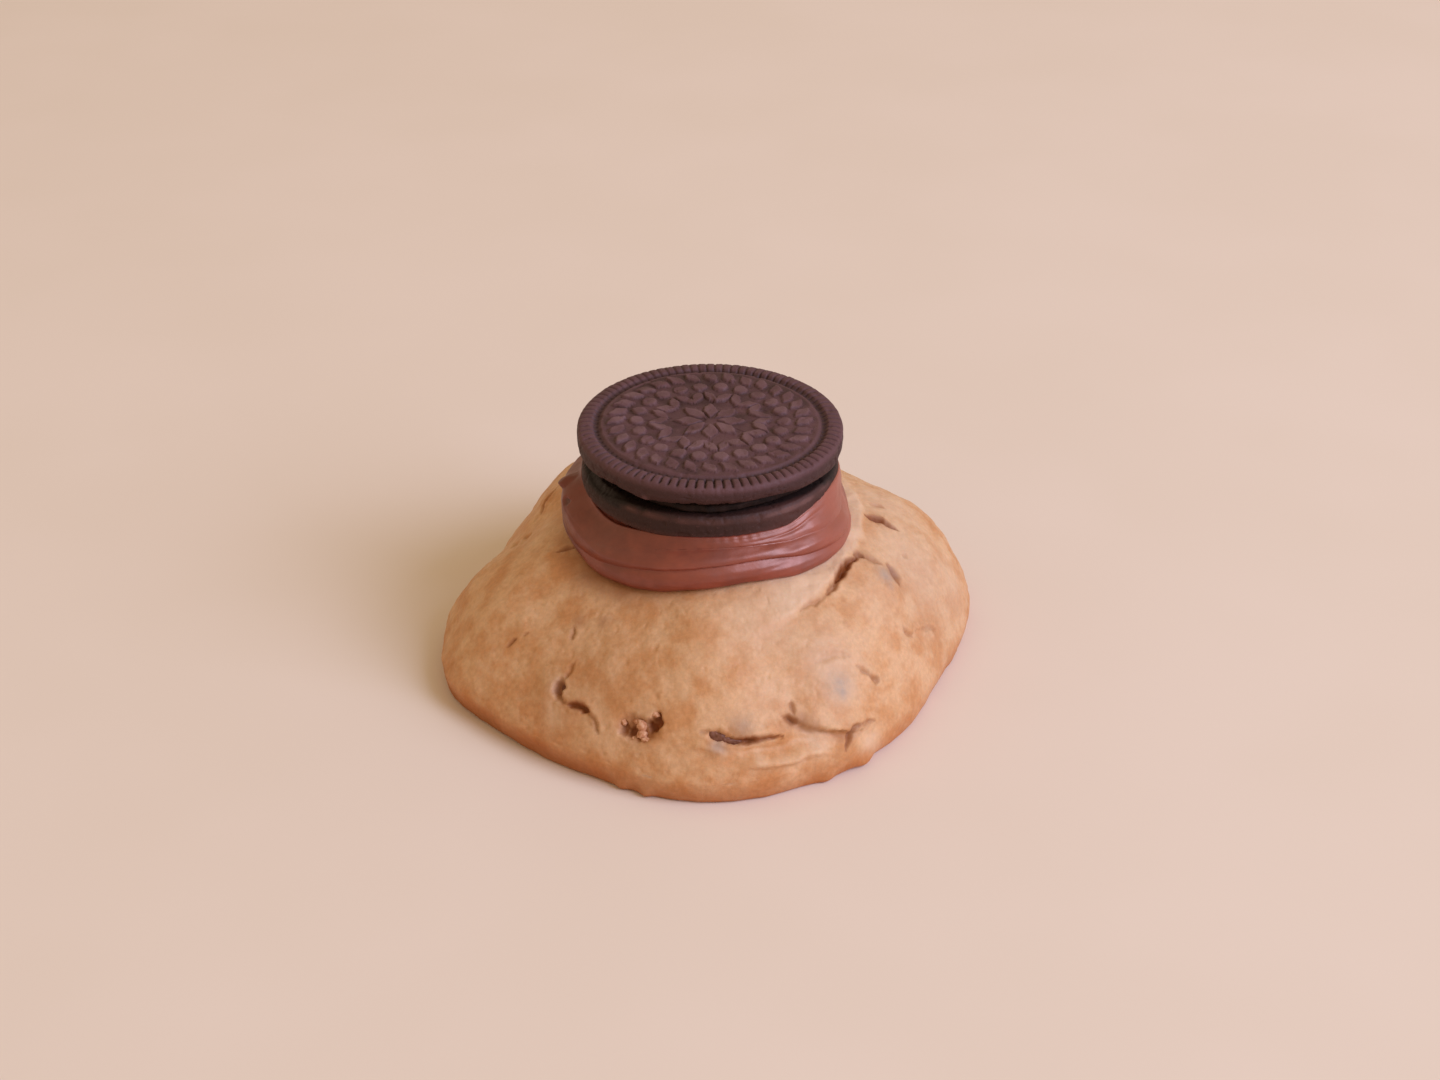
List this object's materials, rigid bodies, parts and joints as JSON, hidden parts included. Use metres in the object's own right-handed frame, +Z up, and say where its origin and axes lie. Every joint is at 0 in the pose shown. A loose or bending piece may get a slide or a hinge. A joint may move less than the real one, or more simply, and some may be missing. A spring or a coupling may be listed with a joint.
{
  "type": "chocolate chip cookie topped with a chocolate sandwich cookie",
  "caption": "Thick domed chocolate chip cookie with a ring of piped chocolate cream and a ridged, embossed chocolate sandwich cookie pressed on top.",
  "frame": {"origin": "on the table, on the cookie's flat underside, under the axis of the sandwich cookie", "axes": "+Z up through the sandwich cookie; +X to the right and -Y towards the viewer who sees the front"},
  "size_m": [0.0931, 0.0947, 0.0446],
  "materials": {
    "dough": "baked dough, matt, paler on top and browner at the rim",
    "cream": "glossy piped chocolate cream",
    "filling": "dark chocolate filling",
    "cocoa_wafer": "dry dark cocoa wafer, matt"
  },
  "bodies": {
    "root": {"base_cookie": "dough", "chocolate_cream": "cream", "filling": "filling", "wafer_lower": "cocoa_wafer", "wafer_upper": "cocoa_wafer"}
  },
  "joints": []
}
